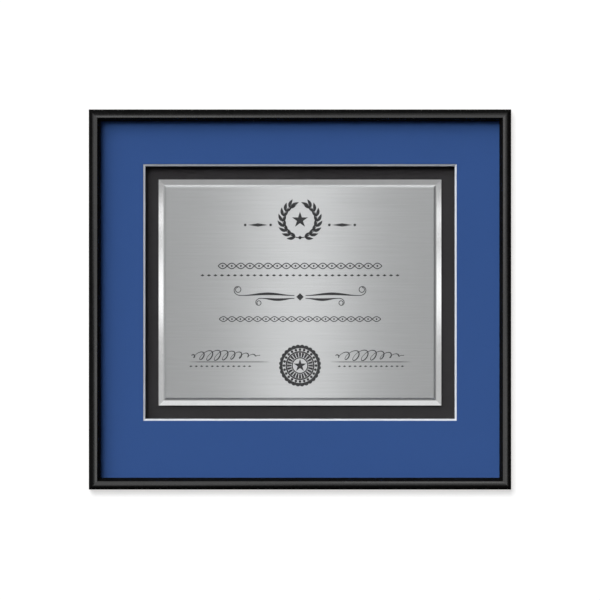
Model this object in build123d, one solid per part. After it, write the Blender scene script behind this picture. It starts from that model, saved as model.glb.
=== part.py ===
from build123d import *
from math import radians, sin
import os

# Certificate frame: a mitred black moulding round a blue window mat, a black mount board and a
# two-layer metal plate, glazed in front and closed behind by a back board under turn buttons.
# It is modelled face up on a bench: x to the right, y up the picture, z towards the viewer, with
# z = 0 at the moulding's rear face. At the end it is stood up with its hook point at the origin.
# All sizes are millimetres.

# Certificate plates
PLATE_WIDTH = 255.4
PLATE_HEIGHT = 204.1
BORDER_PLATE_THICKNESS = 1.5
BORDER_BEVEL_RUN = 4.3
BORDER_BEVEL_DROP = 0.9
REVEAL = 5.1  # polished border that shows round the brushed plate
ENGRAVED_PLATE_THICKNESS = 1.2
ENGRAVED_BEVEL_RUN = 1.9
ENGRAVED_BEVEL_DROP = 0.95
BOND_FILM_THICKNESS = 0.1
BOND_FILM_INSET = 3.0
TAPE_THICKNESS = 0.8
TAPE_WIDTH = 12.0
TAPE_INSET = 20.0  # from the plate's edge to the nearest strip's middle, or to its end
TAPE_STRIPS = 4

# Mat, boards and glazing
BOARD_MARGIN = 12.0  # black board that shows between the plate and the window
MAT_BORDER_SIDE = 40.2  # blue mat that shows between the window and the moulding
MAT_BORDER_TOP = 40.5
MAT_BORDER_BOTTOM = 53.1
MAT_BEVEL_SLOPE = 1.0  # sideways run of the bevel cut for each millimetre of depth
MAT_FACE_THICKNESS = 0.3
MAT_CORE_THICKNESS = 1.7
RISER_THICKNESS = 5.0
RISER_SETBACK = 5.0
MOUNT_BOARD_THICKNESS = 1.5
FILLER_THICKNESS = 3.0
BACK_THICKNESS = 2.5
GLASS_THICKNESS = 2.0
PACK_PLAY = 0.75  # play each side between the stack of boards and the rabbet

# Moulding
MOULDING_WIDTH = 10.6
RABBET_WIDTH = 3.2
LIP_THICKNESS = 4.4
CREST_RISE = 4.4  # crest above the front arris of the lip
CREST_RUN = 5.9  # outer edge to where the crest levels out
CREST_LAND = 1.8
CREST_ROUND = 1.0
SHOULDER_RADIUS = 2.0
SHOULDER_TURN = 52.0  # degrees that the crest's curve turns before the tighter shoulder takes over
REAR_ARRIS = 0.5
NAIL_THICKNESS = 0.5
NAIL_MARGIN = 1.6  # wood left between a corner nail and the faces of the rail
NAIL_SPLAY = 0.5
NAIL_DEPTH = 7.0

# Turn buttons and their screws
BUTTON_CORNER_GAP = 95.0  # frame corner to the nearest button on the long rails
BUTTON_ROOT_RADIUS = 3.5
BUTTON_TIP_RADIUS = 2.8
BUTTON_REACH = 15.5  # pivot to the middle of the tip
BUTTON_THICKNESS = 0.9
BUTTON_BEND = 11.5  # pivot to the bend where the tip lifts
BUTTON_BEND_RADIUS = 3.0
BUTTON_LIFT = 1.4
BUTTON_PLAY = 0.1  # running gap below and above the button
SCREW_RADIUS = 1.2
SCREW_LENGTH = 9.0
SCREW_POINT = 1.6
SCREW_HEAD_RADIUS = 2.5
SCREW_HEAD_HEIGHT = 1.3
SCREW_HEAD_CHAMFER = 0.5
RECESS_SPAN = 2.8  # cross recess for the driver, at its mouth
RECESS_FLOOR = 1.3
RECESS_DEPTH = 0.9
RECESS_SLOT = 0.6
PIVOT_GAP = 0.08  # button bore over the screw, on the radius
PILOT_GAP = 0.05  # pilot hole over the screw, on the radius

# Sawtooth hanger and its rivets
HANGER_LENGTH = 46.0
HANGER_HEIGHT = 9.5
HANGER_THICKNESS = 0.9
HANGER_EAR = 8.0
HANGER_RAMP = 2.0
HANGER_STANDOFF = 1.5  # gap behind the toothed bridge for a nail head
HANGER_TOP_GAP = 16.0  # top edge of the back board to the hanger
TOOTH_PITCH = 3.0
TOOTH_DEPTH = 1.9
TOOTH_TIP = 0.5
TOOTH_NOTCHES = 7
RIVET_RADIUS = 1.4
RIVET_HEAD_RADIUS = 2.6
RIVET_HEAD_HEIGHT = 0.9
RIVET_HEAD_CHAMFER = 0.5
RIVET_CLINCH_RADIUS = 2.4
RIVET_CLINCH_HEIGHT = 0.6
RIVET_GAP = 0.05  # rivet hole over the rivet, on the radius

# Wall bumpers
BUMPER_RADIUS = 3.4
BUMPER_TIP_RADIUS = 2.2
BUMPER_HEIGHT = 3.0
BUMPER_CORNER_GAP = 26.0

# Sizes that follow from those above
window_width = PLATE_WIDTH + 2 * BOARD_MARGIN
window_height = PLATE_HEIGHT + 2 * BOARD_MARGIN
sight_width = window_width + 2 * MAT_BORDER_SIDE
sight_height = window_height + MAT_BORDER_TOP + MAT_BORDER_BOTTOM
frame_width = sight_width + 2 * MOULDING_WIDTH
frame_height = sight_height + 2 * MOULDING_WIDTH
window_rise = (MAT_BORDER_BOTTOM - MAT_BORDER_TOP) / 2
rail_wall = MOULDING_WIDTH - RABBET_WIDTH
pack_width = sight_width + 2 * (RABBET_WIDTH - PACK_PLAY)
pack_height = sight_height + 2 * (RABBET_WIDTH - PACK_PLAY)
pack_y = -PACK_PLAY  # the boards stand on the bottom rail
pack_top = pack_y + pack_height / 2
pack_bottom = pack_y - pack_height / 2

# The stack, from the rear face forward
filler_z = BACK_THICKNESS
mount_z = filler_z + FILLER_THICKNESS
riser_z = mount_z + MOUNT_BOARD_THICKNESS
mat_z = riser_z + RISER_THICKNESS
mat_face_z = mat_z + MAT_CORE_THICKNESS
glass_z = mat_face_z + MAT_FACE_THICKNESS
rabbet_depth = glass_z + GLASS_THICKNESS
sight_z = rabbet_depth + LIP_THICKNESS
crest_z = sight_z + CREST_RISE
border_plate_z = riser_z + TAPE_THICKNESS
bond_film_z = border_plate_z + BORDER_PLATE_THICKNESS
engraved_plate_z = bond_film_z + BOND_FILM_THICKNESS

UPWARD = (Align.CENTER, Align.CENTER, Align.MIN)


def sheet(width, height, thickness, z, x=0.0, y=0.0):
    """A flat rectangular sheet whose rear face is at z."""
    return Pos(x, y, z) * Box(width, height, thickness, align=UPWARD)


def bevelled_plate(width, height, thickness, run, drop, z):
    """A plate whose front edge slopes away: run is across the face, drop is into the thickness."""
    rim = thickness - drop
    foot = Pos(0, window_rise, z + rim) * Rectangle(width, height)
    top = Pos(0, window_rise, z + thickness) * Rectangle(width - 2 * run, height - 2 * run)
    return sheet(width, height, rim, z, y=window_rise) + loft([foot.face(), top.face()], ruled=True)


def turned(*profile):
    """A solid of revolution about z from (r, z) points."""
    return revolve(Plane.XZ * make_face(Polyline(*profile, close=True)), axis=Axis.Z)


# Moulding rails: one profile, run along each side and cut at 45 degrees


def moulding_profile():
    """The section, with u inward from the outer edge and v forward from the rear face."""
    crest_edge = CREST_RUN + CREST_LAND
    crest_radius = SHOULDER_RADIUS + (CREST_RUN - SHOULDER_RADIUS) / sin(radians(SHOULDER_TURN))
    crest = JernArc((CREST_RUN, crest_z), (-1, 0), crest_radius, SHOULDER_TURN)
    shoulder = JernArc(crest @ 1, crest % 1, SHOULDER_RADIUS, 90 - SHOULDER_TURN)
    outline = Polyline(
        shoulder @ 1,
        (0, REAR_ARRIS),
        (REAR_ARRIS, 0),
        (rail_wall, 0),
        (rail_wall, rabbet_depth),
        (MOULDING_WIDTH, rabbet_depth),
        (MOULDING_WIDTH, sight_z),
        (crest_edge, crest_z),
        crest @ 0,
    )
    section = make_face(crest.edges() + shoulder.edges() + outline.edges())
    crest_corner = section.vertices().sort_by_distance((crest_edge, crest_z))[0]
    return fillet(crest_corner, CREST_ROUND)


def rail(length, reach, turn):
    """A mitred rail whose outer face is reach from the centre, turned to its side of the frame."""
    end = length / 2
    station = Plane(origin=(0, -reach, 0), x_dir=(0, 1, 0), z_dir=(1, 0, 0))
    stock = extrude(station * moulding_profile(), amount=end, both=True)
    for side in (-1, 1):
        mitre = Plane(origin=(side * end, -reach, 0), z_dir=(side, 1, 0))
        stock = split(stock, bisect_by=mitre, keep=Keep.BOTTOM)
    return Rot(0, 0, turn) * stock


def corner_nail():
    """A V nail at the lower left corner: its two wings lie in the two rails that meet there."""
    apex = rail_wall - NAIL_MARGIN
    wing = Polyline((apex + NAIL_SPLAY, NAIL_MARGIN), (apex, apex), (NAIL_MARGIN, apex + NAIL_SPLAY))
    return extrude(trace(wing, NAIL_THICKNESS), NAIL_DEPTH)


half_width = frame_width / 2
half_height = frame_height / 2
corner_spots = [
    Pos(-half_width, -half_height) * Rot(0, 0, 0),
    Pos(half_width, -half_height) * Rot(0, 0, 90),
    Pos(half_width, half_height) * Rot(0, 0, 180),
    Pos(-half_width, half_height) * Rot(0, 0, 270),
]
corner_nails = [spot * corner_nail() for spot in corner_spots]

# Turn buttons: each lies across its rail with the tip over the back board

pivot_inset = rail_wall / 2
long_pivot = half_width - BUTTON_CORNER_GAP
high_pivot = half_height - pivot_inset
side_pivot = half_width - pivot_inset
button_spots = {
    "turn_button_bottom_left": Pos(-long_pivot, -high_pivot) * Rot(0, 0, 0),
    "turn_button_bottom_right": Pos(long_pivot, -high_pivot) * Rot(0, 0, 0),
    "turn_button_right": Pos(side_pivot, 0) * Rot(0, 0, 90),
    "turn_button_top_right": Pos(long_pivot, high_pivot) * Rot(0, 0, 180),
    "turn_button_top_left": Pos(-long_pivot, high_pivot) * Rot(0, 0, 180),
    "turn_button_left": Pos(-side_pivot, 0) * Rot(0, 0, 270),
}
button_middle = -BUTTON_PLAY - BUTTON_THICKNESS / 2
screw_seat = -BUTTON_PLAY - BUTTON_THICKNESS - BUTTON_PLAY


def turn_button():
    """A stamped strip, round at both ends, with its tip lifted off the board for a fingernail."""
    tip_end = BUTTON_REACH + BUTTON_TIP_RADIUS
    root = CenterArc((0, 0), BUTTON_ROOT_RADIUS, 0, 360)
    tip = CenterArc((0, BUTTON_REACH), BUTTON_TIP_RADIUS, 0, 360)
    blank = extrude(make_hull(root.edges() + tip.edges()), BUTTON_LIFT * 3, both=True)
    spine = FilletPolyline(
        (-BUTTON_ROOT_RADIUS, button_middle),
        (BUTTON_BEND, button_middle),
        (tip_end, button_middle - BUTTON_LIFT),
        radius=BUTTON_BEND_RADIUS,
    )
    strip = extrude(Plane.YZ * trace(spine, BUTTON_THICKNESS), BUTTON_ROOT_RADIUS, both=True)
    return (blank & strip) - Cylinder(SCREW_RADIUS + PIVOT_GAP, BUTTON_LIFT * 6)


def cross_recess(top):
    """The driver's recess: two crossed slots that narrow with depth."""
    mouth = RECESS_SPAN / 2
    floor = RECESS_FLOOR / 2
    bottom = top + RECESS_DEPTH
    wing = Polyline((-mouth, top), (mouth, top), (floor, bottom), (-floor, bottom), close=True)
    slot = extrude(Plane.XZ * make_face(wing), RECESS_SLOT / 2, both=True)
    return slot + Rot(0, 0, 90) * slot


def button_screw():
    """A pan-head wood screw driven forward into the rail from behind the button."""
    top = screw_seat - SCREW_HEAD_HEIGHT
    tip = screw_seat + SCREW_LENGTH
    blank = turned(
        (0, top),
        (SCREW_HEAD_RADIUS - SCREW_HEAD_CHAMFER, top),
        (SCREW_HEAD_RADIUS, top + SCREW_HEAD_CHAMFER),
        (SCREW_HEAD_RADIUS, screw_seat),
        (SCREW_RADIUS, screw_seat),
        (SCREW_RADIUS, tip - SCREW_POINT),
        (0, tip),
    )
    return blank - cross_recess(top)


pilot_depth = screw_seat + SCREW_LENGTH
pilot_hole = Cylinder(SCREW_RADIUS + PILOT_GAP, pilot_depth, align=UPWARD)
pilot_holes = [spot * pilot_hole for spot in button_spots.values()]
button_screws = [spot * button_screw() for spot in button_spots.values()]

# Sawtooth hanger: two ears on the board and a toothed bridge standing off it

hanger_y = pack_top - HANGER_TOP_GAP - HANGER_HEIGHT / 2
rivet_x = (HANGER_LENGTH - HANGER_EAR) / 2
bridge_z = -HANGER_STANDOFF - HANGER_THICKNESS / 2
hook_y = hanger_y - HANGER_HEIGHT / 2 + TOOTH_DEPTH


def hanger_sawtooth():
    """A strip joggled off the board, notched along its lower edge."""
    ear_end = HANGER_LENGTH / 2
    ear_start = ear_end - HANGER_EAR
    bridge_end = ear_start - HANGER_RAMP
    ear_z = -HANGER_THICKNESS / 2
    spine = Polyline(
        (-ear_end, ear_z),
        (-ear_start, ear_z),
        (-bridge_end, bridge_z),
        (bridge_end, bridge_z),
        (ear_start, ear_z),
        (ear_end, ear_z),
    )
    strip = extrude(Plane.XZ * trace(spine, HANGER_THICKNESS), HANGER_HEIGHT / 2, both=True)
    foot = -HANGER_HEIGHT / 2
    mouth = (TOOTH_PITCH - TOOTH_TIP) / 2
    notch = make_face(Polyline((-mouth, foot), (mouth, foot), (0, foot + TOOTH_DEPTH), close=True))
    cut = extrude(notch, HANGER_STANDOFF * 4, both=True)
    for step in range(TOOTH_NOTCHES):
        strip -= Pos((step - (TOOTH_NOTCHES - 1) / 2) * TOOTH_PITCH, 0) * cut
    for side in (-1, 1):
        strip -= Pos(side * rivet_x, 0) * Cylinder(RIVET_RADIUS + RIVET_GAP, HANGER_STANDOFF * 4)
    return Pos(0, hanger_y) * strip


def hanger_rivet():
    """A round-head rivet, clinched into a sinking in the front of the back board."""
    seat = -HANGER_THICKNESS
    top = seat - RIVET_HEAD_HEIGHT
    return turned(
        (0, top),
        (RIVET_HEAD_RADIUS - RIVET_HEAD_CHAMFER, top),
        (RIVET_HEAD_RADIUS, top + RIVET_HEAD_CHAMFER),
        (RIVET_HEAD_RADIUS, seat),
        (RIVET_RADIUS, seat),
        (RIVET_RADIUS, BACK_THICKNESS - RIVET_CLINCH_HEIGHT),
        (RIVET_CLINCH_RADIUS, BACK_THICKNESS - RIVET_CLINCH_HEIGHT),
        (RIVET_CLINCH_RADIUS, BACK_THICKNESS),
        (0, BACK_THICKNESS),
    )


rivet_spots = [Pos(side * rivet_x, hanger_y) for side in (-1, 1)]


def back_board():
    """The hardboard back, drilled and sunk for the hanger's rivets."""
    board = sheet(pack_width, pack_height, BACK_THICKNESS, 0, y=pack_y)
    drill = Cylinder(RIVET_RADIUS + RIVET_GAP, BACK_THICKNESS, align=UPWARD)
    sinking = Pos(0, 0, BACK_THICKNESS - RIVET_CLINCH_HEIGHT) * Cylinder(
        RIVET_CLINCH_RADIUS + RIVET_GAP, RIVET_CLINCH_HEIGHT, align=UPWARD
    )
    for spot in rivet_spots:
        board -= spot * (drill + sinking)
    return board


# Window mat, cut through facing and core with one bevel


def window_cut():
    """The bevelled hole: the window size at the rear of the core, wider towards the front."""
    run = MAT_BEVEL_SLOPE * (glass_z - mat_z)
    rear = Pos(0, window_rise, mat_z) * Rectangle(window_width, window_height)
    front = Pos(0, window_rise, glass_z) * Rectangle(window_width + 2 * run, window_height + 2 * run)
    return loft([rear.face(), front.face()], ruled=True)


window_top = window_rise + window_height / 2 + RISER_SETBACK
window_bottom = window_rise - window_height / 2 - RISER_SETBACK
window_side = window_width / 2 + RISER_SETBACK


def riser(left, right, bottom, top):
    """A strip between the mount board and the window mat."""
    middle_x = (left + right) / 2
    middle_y = (bottom + top) / 2
    return sheet(right - left, top - bottom, RISER_THICKNESS, riser_z, middle_x, middle_y)


def plate_tape():
    """Strips across the rear of the border plate."""
    span = PLATE_HEIGHT - 2 * TAPE_INSET
    length = PLATE_WIDTH - 2 * TAPE_INSET
    rows = [window_rise - span / 2 + step * span / (TAPE_STRIPS - 1) for step in range(TAPE_STRIPS)]
    return [sheet(length, TAPE_WIDTH, TAPE_THICKNESS, riser_z, y=row) for row in rows]


def wall_bumper(x):
    """A soft tapered pad on the rear of the bottom rail."""
    pad = turned((0, 0), (BUMPER_RADIUS, 0), (BUMPER_TIP_RADIUS, -BUMPER_HEIGHT), (0, -BUMPER_HEIGHT))
    return Pos(x, -high_pivot) * pad


# All the pieces, by node name

rails = {
    "rail_bottom": rail(frame_width, half_height, 0),
    "rail_right": rail(frame_height, half_width, 90),
    "rail_top": rail(frame_width, half_height, 180),
    "rail_left": rail(frame_height, half_width, 270),
}
cut = window_cut()
mat_core = sheet(pack_width, pack_height, MAT_CORE_THICKNESS, mat_z, y=pack_y) - cut
mat_face = sheet(pack_width, pack_height, MAT_FACE_THICKNESS, mat_face_z, y=pack_y) - cut
brushed_width = PLATE_WIDTH - 2 * REVEAL
brushed_height = PLATE_HEIGHT - 2 * REVEAL
film_width = brushed_width - 2 * BOND_FILM_INSET
film_height = brushed_height - 2 * BOND_FILM_INSET
half_pack = pack_width / 2
bumper_x = half_width - BUMPER_CORNER_GAP

nodes = {name: stock - corner_nails - pilot_holes for name, stock in rails.items()}
nodes["corner_v_nails"] = corner_nails
nodes["glazing_sheet"] = sheet(pack_width, pack_height, GLASS_THICKNESS, glass_z, y=pack_y)
nodes["window_mat_face"] = mat_face
nodes["window_mat_core"] = mat_core
nodes["mat_riser_top"] = riser(-half_pack, half_pack, window_top, pack_top)
nodes["mat_riser_bottom"] = riser(-half_pack, half_pack, pack_bottom, window_bottom)
nodes["mat_riser_left"] = riser(-half_pack, -window_side, window_bottom, window_top)
nodes["mat_riser_right"] = riser(window_side, half_pack, window_bottom, window_top)
nodes["mount_board"] = sheet(pack_width, pack_height, MOUNT_BOARD_THICKNESS, mount_z, y=pack_y)
nodes["plate_tape"] = plate_tape()
nodes["border_plate"] = bevelled_plate(
    PLATE_WIDTH, PLATE_HEIGHT, BORDER_PLATE_THICKNESS, BORDER_BEVEL_RUN, BORDER_BEVEL_DROP, border_plate_z
)
nodes["plate_bond_film"] = sheet(
    film_width, film_height, BOND_FILM_THICKNESS, bond_film_z, y=window_rise
)
nodes["engraved_plate"] = bevelled_plate(
    brushed_width,
    brushed_height,
    ENGRAVED_PLATE_THICKNESS,
    ENGRAVED_BEVEL_RUN,
    ENGRAVED_BEVEL_DROP,
    engraved_plate_z,
)
nodes["filler_board"] = sheet(pack_width, pack_height, FILLER_THICKNESS, filler_z, y=pack_y)
nodes["back_board"] = back_board()
nodes["hanger_sawtooth"] = hanger_sawtooth()
nodes["hanger_rivets"] = [spot * hanger_rivet() for spot in rivet_spots]
for name, spot in button_spots.items():
    nodes[name] = spot * turn_button()
nodes["turn_button_screws"] = button_screws
nodes["wall_bumpers"] = [wall_bumper(-bumper_x), wall_bumper(bumper_x)]

# Stood up: the picture's up becomes +Z and its front faces -Y, with the hook point at the origin
hung = Pos(0, bridge_z, -hook_y) * Rot(90, 0, 0)

os.makedirs("parts", exist_ok=True)
for name, shape in nodes.items():
    solids = shape if isinstance(shape, list) else [shape]
    standing = [solid for piece in solids for solid in (hung * piece).solids()]
    export_step(standing[0] if len(standing) == 1 else Compound(standing), f"parts/{name}.step")
    size = Compound(standing).bounding_box().size
    print(f"{name}: {len(standing)} solid(s), {size.X:.1f} x {size.Y:.1f} x {size.Z:.1f} mm")
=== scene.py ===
# %% [markdown]
# A certificate frame, seen square on, against white.
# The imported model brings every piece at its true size, so this lesson only dresses it: finishes for the
# moulding, mats and metal, an engraved design on the plate, and a small photo studio round it all.
# The frame hangs from its own hook point, which is the origin. Its front faces -Y, and +Z is up.

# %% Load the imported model
from math import radians

import bpy
import numpy as np
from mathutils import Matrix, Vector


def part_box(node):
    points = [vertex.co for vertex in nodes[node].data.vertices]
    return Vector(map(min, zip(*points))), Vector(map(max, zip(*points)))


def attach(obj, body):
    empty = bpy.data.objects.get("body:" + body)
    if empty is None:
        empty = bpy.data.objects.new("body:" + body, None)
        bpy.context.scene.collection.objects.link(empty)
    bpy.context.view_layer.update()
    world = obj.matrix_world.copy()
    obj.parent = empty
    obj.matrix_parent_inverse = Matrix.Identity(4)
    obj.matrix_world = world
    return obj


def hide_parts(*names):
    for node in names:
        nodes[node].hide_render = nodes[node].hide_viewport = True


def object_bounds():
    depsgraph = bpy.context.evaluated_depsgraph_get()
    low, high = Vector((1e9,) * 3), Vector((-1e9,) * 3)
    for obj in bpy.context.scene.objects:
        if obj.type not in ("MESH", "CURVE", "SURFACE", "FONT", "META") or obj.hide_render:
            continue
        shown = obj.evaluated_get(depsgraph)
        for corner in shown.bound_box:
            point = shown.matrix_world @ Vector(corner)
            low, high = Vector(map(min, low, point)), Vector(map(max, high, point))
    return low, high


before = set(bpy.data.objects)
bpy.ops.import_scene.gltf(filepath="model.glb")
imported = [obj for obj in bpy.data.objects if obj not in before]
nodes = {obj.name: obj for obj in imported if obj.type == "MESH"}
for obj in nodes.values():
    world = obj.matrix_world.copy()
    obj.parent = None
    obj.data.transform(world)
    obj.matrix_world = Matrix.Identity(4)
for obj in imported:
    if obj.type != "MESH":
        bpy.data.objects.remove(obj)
cad_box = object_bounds()
MM = 0.001
print(f"{len(nodes)} nodes in a box of {[round(s, 4) for s in cad_box[1] - cad_box[0]]} m")

# %% [markdown]
# The places that everything else hangs on are read from the model, not typed in: the middle of the
# moulding, the face of the brushed plate and the rear plane of the rails.

# %% Places read from the model
rail_low, rail_high = (np.array(c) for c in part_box("rail_bottom"))
top_high = np.array(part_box("rail_top")[1])
FRAME_WIDTH = rail_high[0] - rail_low[0]
FRAME_HEIGHT = top_high[2] - rail_low[2]
MIDDLE_Z = (top_high[2] + rail_low[2]) / 2
REAR_Y = rail_high[1]
CREST_Y = rail_low[1]
plate_low, plate_high = (np.array(c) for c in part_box("engraved_plate"))
PLATE_FACE_Y = plate_low[1]
PLATE_MIDDLE = (plate_low + plate_high) / 2
print(f"frame {FRAME_WIDTH:.4f} x {FRAME_HEIGHT:.4f} m, plate face at y {PLATE_FACE_Y:.5f}")

# %% [markdown]
# A photograph of a flat thing is taken from far off with a long lens, so that the moulding's depth
# doesn't open up at the edges. The frame fills a little over 422 of the picture's 600 pixels, which
# fixes the lens once the distance is chosen.

# %% Camera
PICTURE_WIDTH_PX = 600
FRAME_WIDTH_PX = 422.4
CAMERA_DISTANCE = 8.0
SENSOR_WIDTH = 36  # millimetres, the width of a film frame
SHOULDER_DEPTH = 3.8 * MM  # the moulding's outline is widest this far behind its crest
CAMERA_DROP = 0.47 * MM  # the frame sits this much above the middle of the picture
camera_data = bpy.data.cameras.new("camera")
camera_data.sensor_width = SENSOR_WIDTH
view_width = FRAME_WIDTH * PICTURE_WIDTH_PX / FRAME_WIDTH_PX
camera_data.lens = SENSOR_WIDTH * CAMERA_DISTANCE / view_width
camera = bpy.data.objects.new("camera", camera_data)
camera.location = (0, CREST_Y + SHOULDER_DEPTH - CAMERA_DISTANCE, MIDDLE_Z - CAMERA_DROP)
camera.rotation_euler = (radians(90), 0, 0)
bpy.context.scene.collection.objects.link(camera)
bpy.context.scene.camera = camera
bpy.context.scene.view_settings.view_transform = "Standard"
print(f"lens {camera_data.lens:.1f} mm at {CAMERA_DISTANCE} m")

# %% [markdown]
# Every finish below is a short graph of nodes that ends in one shader. A small helper adds a node and
# fills its sockets, so that each recipe reads as a list of what the surface is made of.
# Patterns read Object coordinates, which are metres here, so a noise scale of 1000 means about 1 mm.


# %% Node helpers
class Finish:
    """A new material, its main shader, and short calls that add texture nodes to it."""

    def __init__(self, name, **sockets):
        self.material = bpy.data.materials.new(name)
        self.material.use_nodes = True
        self.tree = self.material.node_tree
        self.shader = self.tree.nodes["Principled BSDF"]
        self.place = self.tree.nodes.new("ShaderNodeTexCoord").outputs["Object"]
        for socket, value in sockets.items():
            self.shader.inputs[socket.replace("_", " ")].default_value = value

    def add(self, kind, inputs=None, **settings):
        """Adds a node. Settings are its properties, and inputs are values or links by socket."""
        node = self.tree.nodes.new("ShaderNode" + kind)
        for key, value in settings.items():
            setattr(node, key, value)
        for key, value in (inputs or {}).items():
            if isinstance(value, bpy.types.NodeSocket):
                self.tree.links.new(value, node.inputs[key])
            else:
                node.inputs[key].default_value = value
        return node

    def noise(self, scale, detail=4.0, stretch=(1, 1, 1), roughness=0.6):
        """Cloudy noise from 0 to 1, finer along an axis whose stretch is larger."""
        spread = self.add("Mapping", {"Vector": self.place, "Scale": stretch})
        cloud = {"Vector": spread.outputs[0], "Scale": scale, "Detail": detail, "Roughness": roughness}
        return self.add("TexNoise", cloud).outputs["Fac"]

    def ramp(self, source, *stops):
        """Turns a 0 to 1 value into colours or greys, given as (position, colour)."""
        node = self.add("ValToRGB", {"Fac": source})
        elements = node.color_ramp.elements
        while len(elements) < len(stops):
            elements.new(0.5)
        for element, (position, colour) in zip(elements, stops):
            grey = isinstance(colour, (int, float))
            element.position = position
            element.color = (colour,) * 3 + (1,) if grey else (*colour, 1)
        return node.outputs["Color"]

    def mix(self, amount, first, second):
        """Colour between first and second by amount. A Mix node has sockets for every type of data;
        those for colour are numbers 6 and 7 going in and 2 coming out."""
        blend = self.add("Mix", data_type="RGBA")
        for socket, value in ((0, amount), (6, first), (7, second)):
            if isinstance(value, bpy.types.NodeSocket):
                self.tree.links.new(value, blend.inputs[socket])
            else:
                blend.inputs[socket].default_value = value if socket == 0 else (*value, 1)
        return blend.outputs[2]

    def bump(self, height, distance, strength=1.0):
        """Makes the shader's normal follow a height of so many metres."""
        relief = {"Height": height, "Distance": distance, "Strength": strength}
        self.link(self.add("Bump", relief).outputs[0], "Normal")

    def link(self, source, socket):
        """Feeds a socket of the main shader."""
        self.tree.links.new(source, self.shader.inputs[socket])

    def wear(self, *names):
        """Puts this finish on CAD nodes."""
        for name in names:
            nodes[name].data.materials.clear()
            nodes[name].data.materials.append(self.material)
        print(f"{self.material.name} on {', '.join(names)}")


# %% [markdown]
# The moulding is wood under a satin black lacquer. Lacquer is smooth to the hand but never optically
# flat, so it gets a faint ripple. The rear face was never sprayed, and there the bare wood shows, with its
# grain along the rail. The rails run two ways, so the recipe is a function of the way that the grain runs.
# A plain gloss turns white at a slant. A rubbed film scatters that light instead and stays black, so here
# its gloss fades as the surface turns away.

# %% Black lacquer with bare wood behind
BARE_WOOD_DEPTH = 0.3 * MM
GRAIN_ALONG = 0.02  # a streak of the grain is 50 times as long as it is wide


def lacquered_wood(name, grain_stretch):
    """Black film in front, and bare wood on all that lies within a hair of the rear face."""
    lacquer = Finish(name)
    depth = lacquer.add("SeparateXYZ", {"Vector": lacquer.place}).outputs["Y"]
    rear = {0: depth, 1: REAR_Y - BARE_WOOD_DEPTH}
    bare = lacquer.add("Math", rear, operation="GREATER_THAN").outputs[0]
    film = lacquer.ramp(lacquer.noise(60, 3), (0.3, 0.002), (0.7, 0.0035))
    streaks = lacquer.noise(1400, 6, grain_stretch, 0.65)
    wood_tones = ((0.3, (0.33, 0.21, 0.11)), (0.5, (0.50, 0.36, 0.21)), (0.7, (0.58, 0.44, 0.28)))
    grain = lacquer.ramp(streaks, *wood_tones)
    lacquer.link(lacquer.mix(bare, film, grain), "Base Color")
    gloss = lacquer.ramp(lacquer.noise(300, 3), (0.3, 0.20), (0.7, 0.30))
    lacquer.link(lacquer.mix(bare, gloss, (0.8, 0.8, 0.8)), "Roughness")
    slant = lacquer.add("LayerWeight", {"Blend": 0.5}).outputs["Facing"]
    lacquer.link(lacquer.ramp(slant, (0, 0.25), (0.3, 0.08), (0.7, 0.0)), "Specular IOR Level")
    lacquer.bump(lacquer.noise(60, 2), 0.006 * MM, 0.2)
    return lacquer


lacquered_wood("black_lacquer_level", (GRAIN_ALONG, 1, 1)).wear("rail_top", "rail_bottom")
lacquered_wood("black_lacquer_upright", (1, 1, GRAIN_ALONG)).wear("rail_left", "rail_right")

# %% [markdown]
# Mat board is paper: a dyed facing with a felt-like tooth over a pale core. The slanted cut round the
# window shows that core as a white line. The mount board behind is the same stuff, dyed black through.

# %% Mat boards
blue = Finish("blue_mat_paper", Roughness=0.92, Specular_IOR_Level=0.15)
tooth = blue.noise(2600, 5)
blue.link(blue.ramp(tooth, (0.25, (0.033, 0.079, 0.238)), (0.75, (0.039, 0.092, 0.268))), "Base Color")
blue.bump(tooth, 0.04 * MM, 0.5)
blue.wear("window_mat_face")

core = Finish("white_mat_core", Roughness=0.95, Specular_IOR_Level=0.1)
core_fibre = core.noise(3500, 5, (1, 4, 1))
core.link(core.ramp(core_fibre, (0.3, (0.52, 0.54, 0.59)), (0.7, (0.62, 0.64, 0.69))), "Base Color")
core.bump(core_fibre, 0.03 * MM, 0.5)
core.wear("window_mat_core")

black = Finish("black_mount_board", Roughness=0.92, Specular_IOR_Level=0.15)
felt = black.noise(2400, 5)
black.link(black.ramp(felt, (0.25, (0.031, 0.029, 0.031)), (0.75, (0.042, 0.040, 0.042))), "Base Color")
black.bump(felt, 0.04 * MM, 0.5)
black.wear("mount_board")

# %% [markdown]
# The two plates are the same silver metal, finished in two ways. The border is polished, so it mirrors
# the room. No polish is perfect: a faint haze in its colour and its gloss keeps the mirror from looking
# like a computer's.

# %% Polished border plate
polished = Finish("polished_silver", Metallic=1.0)
haze = polished.noise(120, 4)
polished.link(polished.ramp(haze, (0.3, (0.83, 0.83, 0.84)), (0.7, (0.88, 0.88, 0.89))), "Base Color")
polished.link(polished.ramp(haze, (0.3, 0.12), (0.7, 0.16)), "Roughness")
polished.wear("border_plate")

# %% [markdown]
# The plate on it is brushed from side to side. Real scratches are far too fine to model, so two things
# stand for them. The shader's own anisotropy scatters light up and down but hardly sideways, which is what
# draws the upright band of light. Two noises stretched along X add single scratches and broader streaks.

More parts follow.
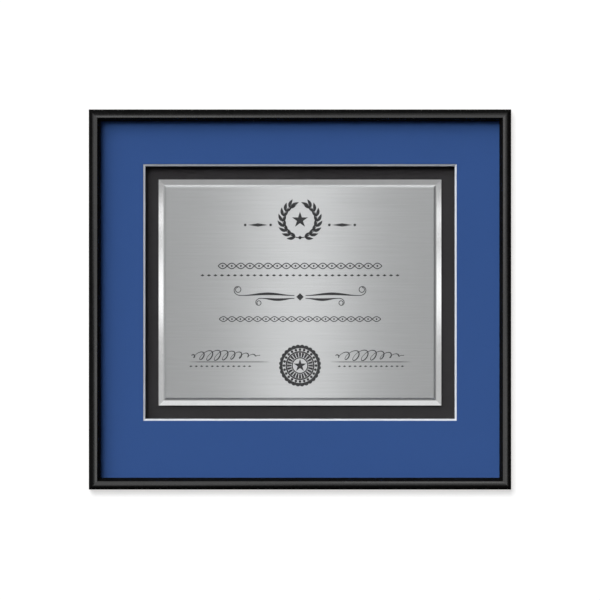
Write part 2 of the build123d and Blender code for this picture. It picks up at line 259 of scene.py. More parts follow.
# %% Brushed plate
BRUSH_ALONG = 0.004  # a scratch is 250 times as long as it is wide
STREAK_ALONG = 0.012  # and a broad streak about 80 times
brushed = Finish("brushed_silver", Metallic=1.0, Anisotropic=0.85, Anisotropic_Rotation=0.25)
scratches = brushed.noise(9000, 3, (BRUSH_ALONG, 1, 1), 0.75)
streaks = brushed.noise(800, 4, (STREAK_ALONG, 1, 1), 0.7)
fine = brushed.ramp(scratches, (0.2, (0.455, 0.46, 0.465)), (0.8, (0.565, 0.57, 0.58)))
broad = brushed.ramp(streaks, (0.35, 0.0), (0.65, 0.26))
brushed.link(brushed.mix(broad, fine, (0.36, 0.365, 0.37)), "Base Color")
brushed.link(brushed.ramp(scratches, (0.2, 0.30), (0.8, 0.40)), "Roughness")
brushed.wear("engraved_plate")

# %% [markdown]
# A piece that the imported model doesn't have is made as a grid of points: a function of two numbers gives
# a place for each row and column, and every four neighbours make a quad.

# %% Grid helpers


def grid_quads(rows, columns, wrap_rows=False):
    """Corner numbers of the quads of a grid of points whose columns close into a loop."""
    row = np.arange(rows if wrap_rows else rows - 1)[:, None]
    column = np.arange(columns)[None, :]
    next_row = (row + 1) % rows
    next_column = (column + 1) % columns
    corners = (
        row * columns + column,
        next_row * columns + column,
        next_row * columns + next_column,
        row * columns + next_column,
    )
    return np.stack(corners, axis=-1).reshape(-1, 4)


def piece_of(name, spots, quads, material):
    """A new piece from points and quads, riding on the frame and wearing the material given."""
    mesh = bpy.data.meshes.new(name)
    mesh.from_pydata(spots.tolist(), [], quads.tolist())
    mesh.materials.append(material)
    piece = bpy.data.objects.new(name, mesh)
    bpy.context.scene.collection.objects.link(piece)
    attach(piece, "frame")
    print(f"{name}: {len(quads)} quads")
    return piece


print(f"three rows of four points, closed into a tube, make {len(grid_quads(3, 4))} quads")

# %% [markdown]
# The glazing is picture glass with a coating that kills reflections, so it is nearly a clear pass-through
# with a trace of mirror that grows at a slant. A glass shader would bend and darken what lies right behind
# it, so this one blends a transparent and a glossy shader by how far the view slants.

# %% Coated glass
SLANT_POWER = 3.0  # how late the mirror comes in as the view slants
glazing = Finish("coated_glass")
clear = glazing.add("BsdfTransparent", {"Color": (0.994, 0.996, 0.994, 1)})
mirror = glazing.add("BsdfGlossy", {"Color": (0.8, 0.85, 1.0, 1), "Roughness": 0.02})
smear = glazing.ramp(glazing.noise(25, 3), (0.3, 0.85), (0.7, 1.0))
slant = glazing.add("LayerWeight", {"Blend": 0.5}).outputs["Facing"]
growth = glazing.add("Math", {0: slant, 1: SLANT_POWER}, operation="POWER").outputs[0]
share = glazing.add("Math", {0: growth, 1: smear}, operation="MULTIPLY").outputs[0]
coated = glazing.add("MixShader", {0: share, 1: clear.outputs[0], 2: mirror.outputs[0]})
output = glazing.tree.nodes["Material Output"]
glazing.tree.links.new(coated.outputs[0], output.inputs["Surface"])
glazing.tree.nodes.remove(glazing.shader)
print(f"{glazing.material.name} mirrors by the power {SLANT_POWER} of the slant")

# %% [markdown]
# The sharp edges of cut glass are ground off. The pane is four rectangles, one behind the other: the first
# and the last are drawn in by the width of that arris, and quads join them.

# %% Glass pane
PANE_ARRIS = 0.3 * MM
PANE_CLEARANCE = 0.05 * MM  # air between the pane and the paper it lies on
pane_low, pane_high = (np.array(c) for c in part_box("glazing_sheet"))
pane_low = pane_low + (0, PANE_CLEARANCE, 0)
pane_high = pane_high - (0, PANE_CLEARANCE, 0)
thickness = pane_high[1] - pane_low[1]
turned_in = np.array([PANE_ARRIS, 0, 0, PANE_ARRIS])
depth = np.array([0, PANE_ARRIS, thickness - PANE_ARRIS, thickness])
corner_x = np.array([pane_low[0], pane_high[0], pane_high[0], pane_low[0]])
corner_z = np.array([pane_low[2], pane_low[2], pane_high[2], pane_high[2]])
inward_x = np.array([1, -1, -1, 1])
inward_z = np.array([1, 1, -1, -1])
pane_x = corner_x[None, :] + turned_in[:, None] * inward_x
pane_z = corner_z[None, :] + turned_in[:, None] * inward_z
pane_y = np.broadcast_to(pane_low[1] + depth[:, None], pane_x.shape)
pane_spots = np.stack([pane_x, pane_y, pane_z], axis=-1).reshape(-1, 3)
pane_quads = np.concatenate([grid_quads(4, 4)[:, ::-1], [[0, 1, 2, 3]], [[15, 14, 13, 12]]])
pane = piece_of("picture_glass", pane_spots, pane_quads, glazing.material)
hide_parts("glazing_sheet")

# %% [markdown]
# Behind the mat are foam strips, tape and film that nobody sees until the frame is opened. They are
# still given the paper, foam and plastic that they are made of.

# %% Hidden boards, tape and film
foam = Finish("foam_board", Roughness=0.9, Specular_IOR_Level=0.2)
cells = foam.noise(1800, 4)
foam.link(foam.ramp(cells, (0.3, (0.74, 0.74, 0.71)), (0.7, (0.84, 0.84, 0.82))), "Base Color")
foam.bump(cells, 0.03 * MM, 0.4)
foam.wear("mat_riser_top", "mat_riser_bottom", "mat_riser_left", "mat_riser_right", "filler_board")

tape = Finish("foam_tape", Roughness=0.8)
tape_cells = tape.noise(2500, 3)
tape.link(tape.ramp(tape_cells, (0.3, (0.52, 0.52, 0.50)), (0.7, (0.64, 0.64, 0.62))), "Base Color")
tape.bump(tape_cells, 0.03 * MM, 0.5)
tape.wear("plate_tape")

film = Finish("bond_film")
film_streaks = film.noise(300, 3, (0.1, 1, 1))
film.link(film.ramp(film_streaks, (0.3, (0.66, 0.66, 0.63)), (0.7, (0.73, 0.73, 0.71))), "Base Color")
film.link(film.ramp(film_streaks, (0.3, 0.25), (0.7, 0.35)), "Roughness")
film.wear("plate_bond_film")

# %% [markdown]
# The back is hardboard: wood fibre pressed into a dense brown sheet with its smooth face outward. Seen
# close it is all short fibres, lying every way, some paler and a few nearly black. Two noises stretched
# across each other give the lie of the fibres, and the tails of a finer one pick out the odd ones.

# %% Hardboard back
FIBRE_ALONG = 0.3  # a fibre is about three times as long as it is wide
hardboard = Finish("hardboard", Specular_IOR_Level=0.3)
level_fibres = hardboard.noise(2200, 4, (FIBRE_ALONG, 1, 1), 0.7)
upright_fibres = hardboard.noise(2200, 4, (1, 1, FIBRE_ALONG), 0.7)
fibres = hardboard.add("Math", {0: level_fibres, 1: upright_fibres}, operation="MAXIMUM").outputs[0]
odd = hardboard.noise(1100, 3, (1, 1, 0.5))
brown = hardboard.ramp(fibres, (0.4, (0.135, 0.070, 0.033)), (0.7, (0.250, 0.146, 0.075)))
paler = hardboard.mix(hardboard.ramp(odd, (0.60, 0.0), (0.70, 0.6)), brown, (0.36, 0.235, 0.13))
flecked = hardboard.mix(hardboard.ramp(odd, (0.30, 0.7), (0.38, 0.0)), paler, (0.060, 0.030, 0.015))
hardboard.link(flecked, "Base Color")
hardboard.link(hardboard.ramp(fibres, (0.4, 0.5), (0.7, 0.66)), "Roughness")
hardboard.bump(fibres, 0.03 * MM, 0.4)
hardboard.wear("back_board")

# %% [markdown]
# Hanger, turn buttons and screws are pressed steel with a zinc plate, which is bright but cloudy. The
# corner nails are plain bright steel, and the rivets are softer aluminium.

# %% Metal fittings
BUTTONS = [name for name in nodes if name.startswith("turn_button_") and name != "turn_button_screws"]
zinc = Finish("zinc_plate", Metallic=1.0)
spangle = zinc.noise(700, 5)
zinc.link(zinc.ramp(spangle, (0.3, (0.55, 0.55, 0.53)), (0.7, (0.68, 0.68, 0.67))), "Base Color")
zinc.link(zinc.ramp(spangle, (0.3, 0.28), (0.7, 0.42)), "Roughness")
zinc.bump(zinc.noise(2500, 2), 0.01 * MM, 0.3)
zinc.wear("hanger_sawtooth", "turn_button_screws", *BUTTONS)

steel = Finish("bright_steel", Metallic=1.0)
drawn = steel.noise(1500, 3, (1, 0.1, 1))
steel.link(steel.ramp(drawn, (0.3, (0.46, 0.46, 0.47)), (0.7, (0.58, 0.58, 0.59))), "Base Color")
steel.link(steel.ramp(drawn, (0.3, 0.3), (0.7, 0.45)), "Roughness")
steel.wear("corner_v_nails")

alloy = Finish("rivet_alloy", Metallic=1.0)
dull = alloy.noise(1200, 4)
alloy.link(alloy.ramp(dull, (0.3, (0.60, 0.60, 0.61)), (0.7, (0.72, 0.72, 0.73))), "Base Color")
alloy.link(alloy.ramp(dull, (0.3, 0.35), (0.7, 0.5)), "Roughness")
alloy.wear("hanger_rivets")

# %% [markdown]
# Two rubber pads keep the foot of the frame off the wall. Moulded rubber is nearly black, with a dull,
# slightly uneven skin, so both its colour and its gloss follow one fine noise.

# %% Rubber bumpers
rubber = Finish("bumper_rubber", Specular_IOR_Level=0.3)
skin = rubber.noise(2200, 4)
rubber.link(rubber.ramp(skin, (0.3, (0.020, 0.020, 0.020)), (0.7, (0.034, 0.034, 0.034))), "Base Color")
rubber.link(rubber.ramp(skin, (0.3, 0.6), (0.7, 0.8)), "Roughness")
rubber.bump(skin, 0.02 * MM, 0.4)
rubber.wear("wall_bumpers")

# %% [markdown]
# The plate carries a dark engraved design. Its cuts are filled level with enamel, so each mark is a thin
# inlay: a strip between a left and a right edge, a hair proud of the plate in front and sunk in it behind.
# Everything drawn here is built from that one strip. Sizes on the plate are in millimetres, measured
# right and up from the plate's middle.

# %% Inlay helpers
INLAY_PROUD = 0.03 * MM
INLAY_SUNK = 0.05 * MM
POINT = 0.02  # half the width, in millimetres, of a mark where it ends in a point


def on_plate(spots, depth):
    """Plate millimetres (right, up) to the frame's metres, depth metres behind the plate's face."""
    right, up = np.moveaxis(spots, -1, 0) * MM
    return np.stack([right, np.full_like(right, PLATE_FACE_Y + depth), PLATE_MIDDLE[2] + up], axis=-1)


def strip(left, right, closed=False):
    """The inlay between two edges. At step s its section has four corners: left edge in front, left
    behind, right behind, right in front."""
    section = np.stack(
        [
            on_plate(left, -INLAY_PROUD),
            on_plate(left, INLAY_SUNK),
            on_plate(right, INLAY_SUNK),
            on_plate(right, -INLAY_PROUD),
        ],
        axis=1,
    )
    quads = grid_quads(len(left), 4, closed)
    if not closed:
        last = 4 * (len(left) - 1)
        quads = np.concatenate([quads, [[0, 1, 2, 3]], [[last + 3, last + 2, last + 1, last]]])
    return section.reshape(-1, 3), quads


def stroke(path, half_width, closed=False):
    """A pen stroke: with n the path's left-hand normal, its edges are path + w n and path - w n."""
    ahead = np.roll(path, -1, 0) - np.roll(path, 1, 0) if closed else np.gradient(path, axis=0)
    along = ahead / np.linalg.norm(ahead, axis=1, keepdims=True)
    normal = np.stack([-along[:, 1], along[:, 0]], axis=1)
    half = np.broadcast_to(half_width, len(path))[:, None]
    return strip(path + half * normal, path - half * normal, closed)


def polar(angles_deg, radius, centre=(0, 0)):
    """Points at angles and radii round a centre."""
    angles = np.radians(angles_deg)
    return np.array(centre) + np.stack([radius * np.cos(angles), radius * np.sin(angles)], axis=-1)


def bead(centre, radius):
    """A round dot: a short stroke whose half width is sqrt(1 - s^2) of the radius, s from -1 to 1."""
    s = np.sin(np.linspace(-np.pi / 2, np.pi / 2, 13))
    path = np.array(centre) + np.stack([s * radius, 0 * s], axis=1)
    return stroke(path, np.maximum(radius * np.sqrt(1 - s**2), POINT))


def lozenge(centre, half_length, half_height):
    """A diamond: a stroke whose half width falls in a straight line to both ends."""
    s = np.array([-1.0, 0.0, 1.0])
    path = np.array(centre) + np.stack([s * half_length, 0 * s], axis=1)
    return stroke(path, np.maximum(half_height * (1 - np.abs(s)), POINT))


def engrave(name, strips):
    """Joins strips into one named piece that rides on the frame."""
    counts = np.cumsum([0] + [len(spots) for spots, _ in strips])
    spots = np.concatenate([spots for spots, _ in strips])
    quads = np.concatenate([quads + start for (_, quads), start in zip(strips, counts)])
    return piece_of(name, spots, quads, enamel.material)


print(f"inlays: {INLAY_PROUD / MM:.2f} mm proud of the plate, {INLAY_SUNK / MM:.2f} mm sunk in it")

# %% [markdown]
# The enamel that fills the cuts is a charcoal paint, a little uneven where it was wiped off.

# %% Enamel
enamel = Finish("charcoal_enamel", Specular_IOR_Level=0.35)
wiped = enamel.noise(900, 4)
enamel.link(enamel.ramp(wiped, (0.3, (0.030, 0.030, 0.032)), (0.7, (0.050, 0.050, 0.053))), "Base Color")
enamel.link(enamel.ramp(wiped, (0.3, 0.45), (0.7, 0.6)), "Roughness")
print(f"{enamel.material.name} for every inlay")

# %% [markdown]
# At the head of the plate is a laurel wreath round a star. Each branch is an arc that starts at the foot
# and climbs one side, with a leaf to the outside and one to the inside at every step. A leaf is a stroke
# along a bending midrib, swelling from a point to its widest and back to a point. A bead ties the foot, and
# a tapered dash between two beads stands on either side, as engravers like to flank a device.

# %% Laurel wreath and star
WREATH_CENTRE = (0.0, 65.0)
WREATH_RADIUS = 15.5
STEM_FROM_DEG, STEM_TO_DEG = -97, 58
STEM_FOOT, STEM_TIP = 0.45, 0.2  # half widths
LEAVES_FROM_DEG, LEAVES_TO_DEG = -74, 50
LEAF_PAIRS = 8
LEAF_POINT = 0.03
STAR_WAIST = 0.382  # the inner corners of a five-pointed star, as a share of its radius
PINHOLE = 0.05


def leaf(root, heading_deg, length, width, curl_deg):
    """A leaf's midrib and half width. The heading turns by the curl along the midrib, and the half
    width is width / 2 * sin(pi s^0.8), for s from 0 at the root to 1 at the tip."""
    s = np.linspace(0, 1, 15)
    heading = np.radians(heading_deg + curl_deg * s)
    steps = np.stack([np.cos(heading), np.sin(heading)], axis=1) * length / (len(s) - 1)
    midrib = np.array(root) + np.cumsum(steps, axis=0) - steps[0]
    return midrib, np.maximum(width / 2 * np.sin(np.pi * s**0.8), LEAF_POINT)


def branch():
    """The right-hand branch: its stem, the pairs of leaves along it and the leaf at its tip."""
    stem = polar(np.linspace(STEM_FROM_DEG, STEM_TO_DEG, 40), WREATH_RADIUS, WREATH_CENTRE)
    lines = [(stem, np.linspace(STEM_FOOT, STEM_TIP, len(stem)))]
    for angle in np.linspace(LEAVES_FROM_DEG, LEAVES_TO_DEG, LEAF_PAIRS):
        root = polar(angle, WREATH_RADIUS, WREATH_CENTRE)
        lines.append(leaf(root, heading_deg=angle + 48, length=8.2, width=2.9, curl_deg=32))
        lines.append(leaf(root, heading_deg=angle + 130, length=6.8, width=2.5, curl_deg=-28))
    lines.append(leaf(stem[-1], heading_deg=150, length=8.0, width=2.7, curl_deg=10))
    return lines


def star(centre, radius):
    """A five-pointed star: a ring round a pinhole, whose outer edge goes in turn to the radius and to
    the waist."""
    angles = np.linspace(90, 450, 10, endpoint=False)
    outer = polar(angles, np.tile([radius, STAR_WAIST * radius], 5), centre)
    return strip(polar(angles, PINHOLE, centre), outer, closed=True)


MIRROR = np.array([-1.0, 1.0])
right_branch = [stroke(path, half) for path, half in branch()]
left_branch = [stroke(path * MIRROR, half) for path, half in branch()]
STAR_CENTRE = (0.0, 65.5)
FLANK_RIGHT = 38.0
FLANK_UP = 61.0
FLANK_BEAD_AWAY = 11.5
wreath_foot = polar(-90, WREATH_RADIUS, WREATH_CENTRE)
wreath_strokes = right_branch + left_branch
wreath_strokes += [star(STAR_CENTRE, radius=7.6), bead(wreath_foot, radius=1.5)]
for side in (-1, 1):
    middle = side * FLANK_RIGHT
    wreath_strokes.append(lozenge((middle, FLANK_UP), half_length=9.0, half_height=1.5))
    for step in (-FLANK_BEAD_AWAY, FLANK_BEAD_AWAY):
        wreath_strokes.append(bead((middle + step, FLANK_UP), radius=1.2))
engrave("laurel_wreath", wreath_strokes)

# %% [markdown]
# Under it run two bands: a two-strand braid with a bead in each eye, and a row of small diamonds. A finer
# braid runs lower down. A braid is two sine waves half a turn apart, so one function draws them both.

# %% Braid bands and diamond row
EYE_BEAD = 0.36  # a bead's radius, as a share of the braid's amplitude


def braid(middle, length, amplitude, eyes, half_width):
    """Two strands, up = a sin(pi n t) and its mirror image, with t from 0 to 1 along the length and n
    eyes, and a bead in the middle of each eye."""
    t = np.linspace(0, 1, 24 * eyes + 1)
    right = middle[0] + (t - 0.5) * length
    wave = amplitude * np.sin(np.pi * eyes * t)
    strands = [stroke(np.stack([right, middle[1] + sign * wave], axis=1), half_width) for sign in (1, -1)]
    eye_right = middle[0] + ((np.arange(eyes) + 0.5) / eyes - 0.5) * length
    return strands + [bead((spot, middle[1]), EYE_BEAD * amplitude) for spot in eye_right]


def diamond_row(middle, length, count, half_length, half_height):
    """Diamonds at even steps along a line."""
    spots = middle[0] + np.linspace(-0.5, 0.5, count) * (length - 2 * half_length)
    return [lozenge((spot, middle[1]), half_length, half_height) for spot in spots]


engrave("braid_upper", braid((0, 24), length=148, amplitude=2.5, eyes=18, half_width=0.42))
engrave("diamond_row", diamond_row((0, 15.5), length=180, count=31, half_length=1.9, half_height=1.0))
engrave("braid_lower", braid((0, -24), length=146, amplitude=2.2, eyes=19, half_width=0.38))

# %% [markdown]
# The middle of the plate holds a scrolled rule, the kind an engraver cuts with one swelling stroke. From
# the centre diamond each side swells, thins, and rolls up into a spiral.

# %% Scrolled rule
RULE_CENTRE = np.array([0.0, -4.0])
RULE_START = 5.0  # from the centre to where a stroke begins
HAIRLINE = 0.34
SWELL = 0.85
UPPER_SCROLL = {"length": 78.0, "bend": 0.10, "turns": 1.5, "roll_start": 0.62}
LOWER_SCROLL = {"length": 52.0, "bend": -0.12, "turns": -1.4, "roll_start": 0.58}
SCROLL_LIFT = 1.3  # from the middle of the rule up or down to where a scroll begins


def rolled(length, bend, turns, roll_start):
    """A path by its heading, for s from 0 to 1: a gentle wave, bend sin(2 pi s / roll_start), and past
    roll_start a spiral, 2 pi turns r^1.5, where r goes from 0 there to 1 at the end."""
    s = np.linspace(0, 1, 160)
    roll = np.clip((s - roll_start) / (1 - roll_start), 0, 1)
    wave = bend * np.sin(2 * np.pi * s / roll_start) * (s < roll_start)
    heading = wave + 2 * np.pi * turns * roll**1.5
    steps = np.stack([np.cos(heading), np.sin(heading)], axis=1) * length / (len(s) - 1)
    return s, np.cumsum(steps, axis=0) - steps[0]


rule_strokes = [lozenge(RULE_CENTRE, half_length=3.4, half_height=3.4)]
for lift, scroll in ((SCROLL_LIFT, UPPER_SCROLL), (-SCROLL_LIFT, LOWER_SCROLL)):
    s, path = rolled(**scroll)
    half = HAIRLINE + SWELL * np.sin(np.pi * np.clip(s / scroll["roll_start"], 0, 1)) ** 2
    for side in (np.array([1.0, 1.0]), MIRROR):
        rule_strokes.append(stroke(RULE_CENTRE + (path + (RULE_START, lift)) * side, half))
engrave("scrolled_rule", rule_strokes)

# %% [markdown]
# At the foot, each side has a line to sign on, with a looping pen trial above it and a row of small marks
# below. The loops are a penman's oval drill: the pen goes round and round as it moves along, in ovals that
# lean, overlap, swell from nothing and fade again.

# %% Lines to sign on
LINE_UP = -62.7
PEN_UP = -56.8
MARKS_UP = -66.6
PEN_LEAN = 0.6
PEN_SWING = 3.2  # how much faster the pen swings back and forth than it moves along
PEN_FINE = 0.22
PEN_BROAD = 0.52


def pen_loops(start, length, loops, height, early):
    """With a = 2 pi n t and the swell s = sin(pi t^early), right = l t + b s sin(a) + lean up, and
    up = h s cos(a). The stroke is broad going down and fine going up."""
    t = np.linspace(0, 1, 50 * loops)
    turn = 2 * np.pi * loops * t
    swell = np.sin(np.pi * t**early)
    up = height * swell * np.cos(turn)
    right = length * (t + PEN_SWING * swell * np.sin(turn) / (2 * np.pi * loops)) + PEN_LEAN * up
    half = PEN_FINE + (PEN_BROAD - PEN_FINE) * (1 + np.sin(turn)) / 2
    return stroke(np.array(start) + np.stack([right, up], axis=1), half)


def straight(start, end, half_width):
    """A straight rule with tapered ends: its half width is w min(1, 0.2 + 8 d), with d the share of the
    length from the nearer end."""
    t = np.linspace(0, 1, 9)[:, None]
    path = np.array(start) * (1 - t) + np.array(end) * t
    return stroke(path, half_width * np.minimum(1, 0.2 + 8 * np.minimum(t, 1 - t))[:, 0])


left_line = [
    straight((-100, LINE_UP), (-28, LINE_UP), half_width=0.3),
    pen_loops((-98, PEN_UP), length=62, loops=9, height=4.6, early=0.65),
]
right_line = [
    straight((28, LINE_UP), (100, LINE_UP), half_width=0.3),
    pen_loops((32, PEN_UP), length=62, loops=8, height=4.8, early=0.75),
]
left_marks = diamond_row((-72, MARKS_UP), length=56, count=12, half_length=1.5, half_height=0.75)
right_marks = diamond_row((64, MARKS_UP), length=60, count=13, half_length=1.5, half_height=0.75)
engrave("signing_line_left", left_line + left_marks)
engrave("signing_line_right", right_line + right_marks)

# %% [markdown]
# Between them sits a rosette seal: a scalloped rim, a ring of beads, a crown of ribs and a star. Every part
# repeats evenly round the centre.

# %% Rosette seal
SEAL_CENTRE = (0.0, -66.0)
SEAL_RADIUS = 19.0
SCALLOPS = 28
SCALLOP_DEPTH = 1.0
RIM_INSIDE = 15.7
BEAD_RING = 14.4
BEADS = 24
OUTER_LINE = 12.4
INNER_LINE = 7.0
RIBS = 24
RIB_FROM, RIB_TO = 7.7, 11.6
RIB_NARROW, RIB_BROAD = 0.7, 1.15  # half widths


def ring(radius, half_width):
    """A plain circle line."""
    circle = polar(np.linspace(0, 360, 120, endpoint=False), radius, SEAL_CENTRE)
    return stroke(circle, half_width, closed=True)


round_deg = np.linspace(0, 360, SCALLOPS * 10, endpoint=False)
scallop = SEAL_RADIUS - SCALLOP_DEPTH * (1 - np.abs(np.sin(np.radians(round_deg * SCALLOPS / 2))))
rim_inside = polar(round_deg, RIM_INSIDE, SEAL_CENTRE)
rim_outside = polar(round_deg, scallop, SEAL_CENTRE)
seal_strokes = [strip(rim_inside, rim_outside, closed=True)]
seal_strokes += [ring(OUTER_LINE, half_width=0.65), ring(INNER_LINE, half_width=0.5)]
for angle in np.linspace(0, 360, BEADS, endpoint=False):
    seal_strokes.append(bead(polar(angle, BEAD_RING, SEAL_CENTRE), radius=1.2))
for angle in np.linspace(0, 360, RIBS, endpoint=False):
    rib = polar(np.full(9, angle), np.linspace(RIB_FROM, RIB_TO, 9), SEAL_CENTRE)
    seal_strokes.append(stroke(rib, np.linspace(RIB_NARROW, RIB_BROAD, 9)))
seal_strokes.append(star(SEAL_CENTRE, radius=6.0))
engrave("rosette_seal", seal_strokes)

# %% [markdown]
# The studio. A broad soft lamp stands up and to the left, so the moulding and the mat drop their shadows
# down and to the right. It is kept out of reflections, because what metal mirrors is set apart from what
# lights the paper. The black board lies deepest and has a lamp of its own, which gives its shadow the right
# depth. A weak lamp low on the right touches only the mat's core, so that its shaded bevels still read as
# white. Another lights the back, and the last is for the backdrop.

# %% Lamps
KEY_TOWARDS = (-0.9, -1.0, 1.08)
WALL_TOWARDS = (-0.11, -1.0, 0.20)
BEVEL_TOWARDS = (1.0, -0.35, -0.45)
BOARD_TOWARDS = (-1.0, -1.0, 1.5)
REAR_TOWARDS = (0.45, 1.0, 0.8)


def hang(name, lamp, place, away):
    """Puts a lamp at a place, shining along away, out of the camera's sight."""
    holder = bpy.data.objects.new(name, lamp)
    away = np.array(away) / np.linalg.norm(away)
    holder.location = place
    holder.rotation_euler = (float(np.arccos(-away[2])), 0, float(np.arctan2(-away[0], away[1])))
    holder.visible_camera = False
    bpy.context.scene.collection.objects.link(holder)
    return holder


def sun(name, towards, strength, spread_deg):
    """A distant soft lamp that shines from the direction towards."""
    lamp = bpy.data.lights.new(name, "SUN")
    lamp.energy = strength
    lamp.angle = radians(spread_deg)
    print(f"{name}: strength {strength}, {spread_deg} degrees across")
    return hang(name, lamp, (0, 0, 0), -np.array(towards))


def light_only(lamp, piece, state="INCLUDE"):
    """Adds a piece to the few that a lamp lights or, with EXCLUDE, to the few that it doesn't."""
    linked = lamp.light_linking.receiver_collection or bpy.data.collections.new(lamp.name + "_lights")
    linked.objects.link(piece)
    for entry in linked.collection_objects:
        entry.light_linking.link_state = state
    lamp.light_linking.receiver_collection = linked


key = sun("key_lamp", KEY_TOWARDS, strength=5.9, spread_deg=70)
rear = sun("rear_lamp", REAR_TOWARDS, strength=2.9, spread_deg=40)
wall_lamp = sun("wall_lamp", WALL_TOWARDS, strength=3.4, spread_deg=18)
bevel_lamp = sun("bevel_lamp", BEVEL_TOWARDS, strength=2.8, spread_deg=30)
board_lamp = sun("board_lamp", BOARD_TOWARDS, strength=7.1, spread_deg=60)
for lamp in (key, rear, wall_lamp, board_lamp):
    lamp.visible_glossy = False
light_only(bevel_lamp, nodes["window_mat_core"])
light_only(board_lamp, nodes["mount_board"])

# %% [markdown]
# Metal and lacquer have hardly a colour of their own: they show what stands in front of them. So white
# cards are hung round the frame. A card is an area lamp, because a lamp can be linked to single pieces: each
# is mirrored by a few pieces only, and none of them lights the paper.

# %% Card helper


def card(name, place, size, glow, shown_in):
    """A glowing rectangle that is mirrored only by the pieces named. Its place is so many metres ahead,
    right and up of the plate's middle, which it faces, and its size is a width and a height."""
    ahead, right, up = place
    width, height = size
    offset = np.array([right, -ahead, up])
    lamp = bpy.data.lights.new(name, "AREA")
    lamp.shape = "RECTANGLE"
    lamp.size = width
    lamp.size_y = height
    lamp.energy = glow * np.pi * width * height
    holder = hang(name, lamp, PLATE_MIDDLE + offset, -offset)
    holder.visible_diffuse = False
    for piece in shown_in:
        light_only(holder, nodes[piece])
    print(f"{name}: {width:.3f} x {height:.3f} m for {', '.join(shown_in)}")
    return holder


# %% [markdown]
# Two wide cards ahead draw the line along the moulding's crest. That line isn't even: going clockwise, it
# drifts on each rail from the level of the crest out to its rounded side. So each rail has two small cards
# of its own close by, one over the crest where the rail starts and one further out where it ends. Three
# more stand a little behind the frame, at the sides and overhead. They put a sheen on the moulding's outer
# faces for anyone who looks from there.

# %% Cards for the moulding
RAILS = ("rail_top", "rail_bottom", "rail_left", "rail_right")
CREST_INSET = 6.5 * MM  # outer edge to the middle of the level crest
NEAR = 0.5
NEAR_SHIFT = 0.22  # from the middle of a rail to its near cards, along the rail
NEAR_LENGTH = 0.40
START_BREADTH = 0.12
END_BREADTH = 0.30
END_OUT = 0.30  # from the crest to the card at the rail's end, outwards
EDGE_CARD = (1.6, 1.6)
EDGE_AWAY = 1.0
EDGE_BEHIND = 0.8
EDGE_GLOW = 0.9

card("crest_card", (1.5, 0, 0), size=(1.7, 1.4), glow=1.6, shown_in=RAILS)
card("crest_wide_card", (1.5, 0.25, -0.3), size=(2.3, 1.8), glow=1.1, shown_in=RAILS)
half_frame = np.array([FRAME_WIDTH, FRAME_HEIGHT]) / 2
for rail, right, up, start_glow, end_glow in (  # right and up point outwards
    ("rail_left", -1, 0, 2.6, 2.2),
    ("rail_top", 0, 1, 2.8, 1.1),
    ("rail_right", 1, 0, 2.6, 2.4),
    ("rail_bottom", 0, -1, 3.3, 2.0),
):
    outward = np.array([right, up])
    clockwise = np.array([up, -right])
    crest = outward * (half_frame - CREST_INSET)
    start = crest - NEAR_SHIFT * clockwise
    end = crest + END_OUT * outward + NEAR_SHIFT * clockwise
    start_size = START_BREADTH * np.abs(outward) + NEAR_LENGTH * np.abs(clockwise)
    end_size = END_BREADTH * np.abs(outward) + NEAR_LENGTH * np.abs(clockwise)
    card(f"{rail}_start_card", (NEAR, *start), start_size, start_glow, shown_in=(rail,))
    card(f"{rail}_end_card", (NEAR, *end), end_size, end_glow, shown_in=(rail,))
card("edge_top_card", (-EDGE_BEHIND, 0, EDGE_AWAY), EDGE_CARD, EDGE_GLOW, shown_in=RAILS)
for side, hand in ((-1, "left"), (1, "right")):
    beside = (-EDGE_BEHIND, side * EDGE_AWAY, 0)
    card(f"edge_{hand}_card", beside, EDGE_CARD, EDGE_GLOW, shown_in=RAILS)

# %% [markdown]
# A tall narrow card gives the brushed plate its upright band, over a wide dim one. Three small ones above
# and beside it touch the plate's bevels, and two far out keep it light for a slanting view. The polished
# border mirrors a patchwork at either side, brightest at mid height, and a low card. One card behind the
# frame is for the hanger and the buttons.

# %% Cards for the metal
PLATE = ("engraved_plate",)
BORDER = ("border_plate",)
HARDWARE = tuple(name for name in nodes if name.startswith(("hanger_", "turn_button_")))
BORDER_AHEAD = 0.46
BORDER_AWAY = 0.327
BORDER_CARD_WIDTH = 0.15
BORDER_LEVELS = (  # name, metres up, height, glow
    ("", 0.002, 0.065, 0.71),
    ("_upper", 0.074, 0.02, 1.2),
    ("_long", -0.04, 0.2, 0.2),
)

card("rear_card", (-1.2, 0.5, 0.9), size=(1.2, 1.2), glow=1.2, shown_in=HARDWARE)
card("plate_card", (0.6, 0, 0), size=(0.9, 1.2), glow=0.285, shown_in=PLATE)
card("plate_strip", (0.45, 0, 0), size=(0.085, 1.0), glow=0.98, shown_in=PLATE)
card("plate_top_card", (0.32, 0, 0.62), size=(0.6, 0.3), glow=2.5, shown_in=PLATE)
card("plate_left_card", (0.36, -0.6, 0), size=(0.3, 0.8), glow=0.75, shown_in=PLATE)
card("plate_right_card", (0.36, 0.6, 0), size=(0.3, 0.8), glow=0.25, shown_in=PLATE)
card("border_low_card", (BORDER_AHEAD, 0, -0.3), size=(0.6, 0.15), glow=0.48, shown_in=BORDER)
for side, hand in ((-1, "left"), (1, "right")):
    card(f"plate_slant_{hand}_card", (1.2, side * 0.85, 0), size=(0.8, 2.0), glow=0.4, shown_in=PLATE)
    for level, up, height, glow in BORDER_LEVELS:
        place = (BORDER_AHEAD, side * BORDER_AWAY, up)
        card(f"border_{hand}{level}_card", place, (BORDER_CARD_WIDTH, height), glow, shown_in=BORDER)

# %% [markdown]
# The sky is one white background whose strength depends on who asks. The camera sees it at 1, which is
# white, and so does a ray that went through glass. Paper gets a dim, even fill. Metal mirrors a dome that
# is brightest straight ahead and straight behind, as in a room with a window at either end.

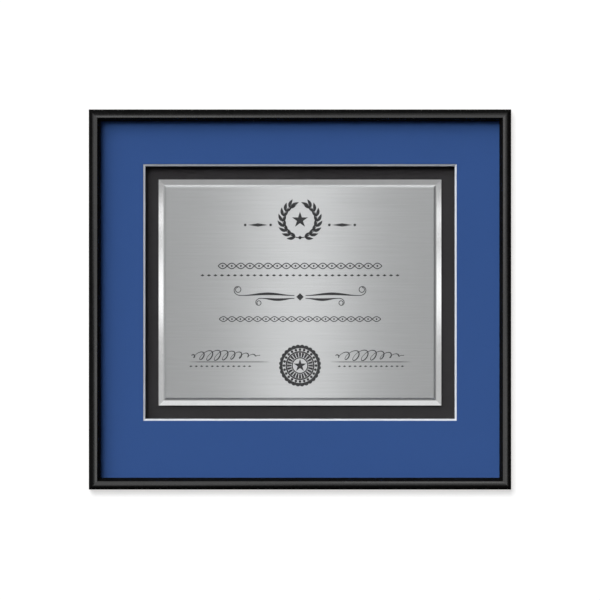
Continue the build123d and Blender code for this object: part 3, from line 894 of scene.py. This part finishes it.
# %% Sky
FILL = 0.07
DOME = 0.41
DOME_FLOOR = 0.07
DOME_TIGHTNESS = 2.8  # how fast the dome fades away from straight ahead
world = bpy.data.worlds.new("studio")
bpy.context.scene.world = world
world.use_nodes = True
world.cycles.sampling_method = "NONE"
sky = world.node_tree
backing = sky.nodes["Background"]
asker = sky.nodes.new("ShaderNodeLightPath").outputs


def sky_math(operation, *values):
    """One sum in the sky's graph; a value is a number or another node's output."""
    node = sky.nodes.new("ShaderNodeMath")
    node.operation = operation
    for slot, value in enumerate(values):
        if isinstance(value, bpy.types.NodeSocket):
            sky.links.new(value, node.inputs[slot])
        else:
            node.inputs[slot].default_value = value
    return node.outputs[0]


direction = sky.nodes.new("ShaderNodeSeparateXYZ")
sky.links.new(sky.nodes.new("ShaderNodeTexCoord").outputs["Generated"], direction.inputs[0])
ahead = sky_math("ABSOLUTE", direction.outputs["Y"])
dome = sky_math("MULTIPLY_ADD", sky_math("POWER", ahead, DOME_TIGHTNESS), DOME, DOME_FLOOR)
seen = sky_math("MAXIMUM", asker["Is Camera Ray"], asker["Is Transmission Ray"])
lit = sky_math("MULTIPLY_ADD", asker["Is Glossy Ray"], sky_math("SUBTRACT", dome, FILL), FILL)
level = sky_math("MULTIPLY_ADD", seen, sky_math("SUBTRACT", 1.0, lit), lit)
sky.links.new(level, backing.inputs["Strength"])
backing.inputs["Color"].default_value = (1, 1, 1, 1)
print(f"sky: 1 to the camera, {FILL} to paper, {DOME_FLOOR} to {DOME_FLOOR + DOME:.2f} to metal")

# %% [markdown]
# A white sheet stands right behind the frame to catch its thin shadow, and a pale floor lies below. Both
# are there for the camera alone, and each is clear from its far side, so that the back and the underside of
# the frame stay in view. The sheet has a lamp to itself, nearly square on, which keeps the shadow close to
# the edge.

# %% Backdrop and floor
STAGE_SIZE = 6.0
FLOOR_DROP = 0.14


def stage_plane(name, corners, glow, paint):
    """A flat sheet that glows a little, takes shadows on the rest of its brightness, and is clear from
    behind."""
    mesh = bpy.data.meshes.new(name)
    mesh.from_pydata(corners, [], [(0, 1, 2, 3)])
    holder = bpy.data.objects.new(name, mesh)
    bpy.context.scene.collection.objects.link(holder)
    paper = Finish(name + "_paper")
    shine = paper.add("Emission", {"Color": (1, 1, 1, 1), "Strength": glow})
    matte = paper.add("BsdfDiffuse", {"Color": (paint, paint, paint, 1)})
    sheet = paper.add("AddShader", {0: shine.outputs[0], 1: matte.outputs[0]}).outputs[0]
    side = paper.add("NewGeometry").outputs["Backfacing"]
    gone = paper.add("BsdfTransparent").outputs[0]
    sheet = paper.add("MixShader", {0: side, 1: sheet, 2: gone}).outputs[0]
    paper.tree.links.new(sheet, paper.tree.nodes["Material Output"].inputs["Surface"])
    paper.tree.nodes.remove(paper.shader)
    mesh.materials.append(paper.material)
    holder.visible_diffuse = False
    holder.visible_glossy = False
    holder.visible_transmission = False
    holder.visible_shadow = False
    print(f"{name}: glow {glow}, paint {paint}")
    return holder


reach = STAGE_SIZE / 2
floor_z = float(rail_low[2]) - FLOOR_DROP
wall_y = float(cad_box[1][1])
wall_corners = [
    (-reach, wall_y, floor_z),
    (reach, wall_y, floor_z),
    (reach, wall_y, reach),
    (-reach, wall_y, reach),
]
floor_corners = [
    (-reach, -reach, floor_z),
    (reach, -reach, floor_z),
    (reach, reach, floor_z),
    (-reach, reach, floor_z),
]
backdrop = stage_plane("backdrop", wall_corners, glow=0.6, paint=0.4)
stage_plane("floor", floor_corners, glow=0.7, paint=0.3)

light_only(wall_lamp, backdrop)
light_only(key, backdrop, "EXCLUDE")
light_only(key, nodes["mount_board"], "EXCLUDE")
light_only(rear, backdrop, "EXCLUDE")
